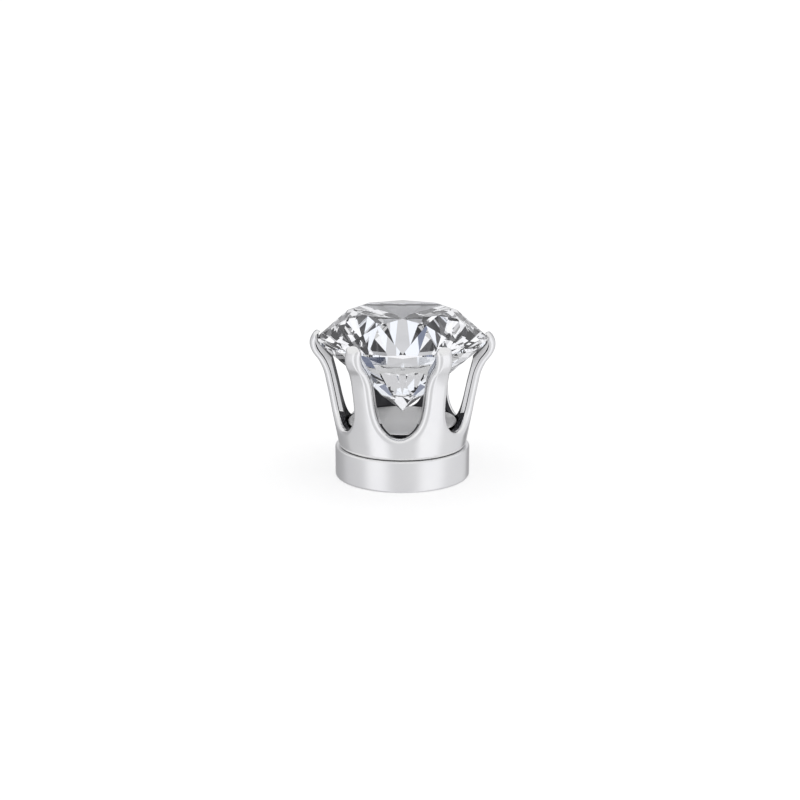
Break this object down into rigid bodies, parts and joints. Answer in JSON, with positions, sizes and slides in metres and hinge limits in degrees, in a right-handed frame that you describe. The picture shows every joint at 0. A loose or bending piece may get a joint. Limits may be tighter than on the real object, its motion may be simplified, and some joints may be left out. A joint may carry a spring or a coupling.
{
  "type": "magnetic earring",
  "caption": "Stud earring: a round brilliant stone held by claws in a small flared cup that stands on a flat round magnet.",
  "frame": {"origin": "centre of the magnet's underside", "axes": "+Z from the magnet up to the stone's table, +X through the middle of one claw, +Y midway between two claws at 60 and 120 degrees"},
  "size_m": [0.0054, 0.005, 0.005],
  "materials": {
    "magnet": "polished, plated",
    "setting": "polished",
    "stone": "clear, faceted, polished"
  },
  "bodies": {
    "root": {"magnet_base": "magnet", "claw_setting": "setting", "floor_disc": "setting", "stone": "stone"}
  },
  "joints": []
}
